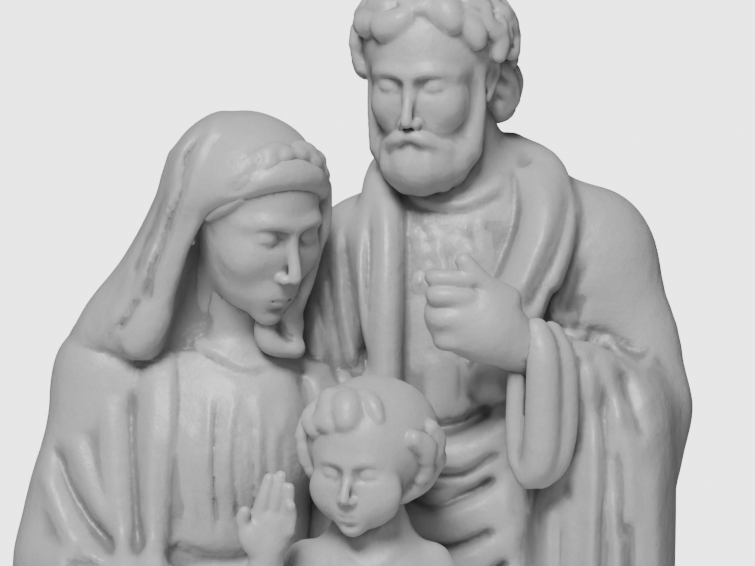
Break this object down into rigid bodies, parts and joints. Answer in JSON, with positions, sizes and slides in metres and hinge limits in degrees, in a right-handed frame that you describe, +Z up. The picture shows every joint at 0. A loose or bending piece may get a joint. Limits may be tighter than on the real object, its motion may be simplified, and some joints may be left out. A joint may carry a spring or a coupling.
{
  "type": "holy family statue",
  "caption": "Devotional statue of a bearded man, a veiled woman and a child on her arm, cast in one with a low oval base.",
  "frame": {"origin": "centre of the base's underside", "axes": "+Z up; the figures face -Y, with the woman at -X and the man at +X"},
  "size_m": [0.222, 0.1626, 0.4],
  "materials": {
    "cast_stone": "unpainted mid-grey cast stone with a fine satin skin"
  },
  "bodies": {
    "root": {"holy_family_statue": "cast_stone"}
  },
  "joints": []
}
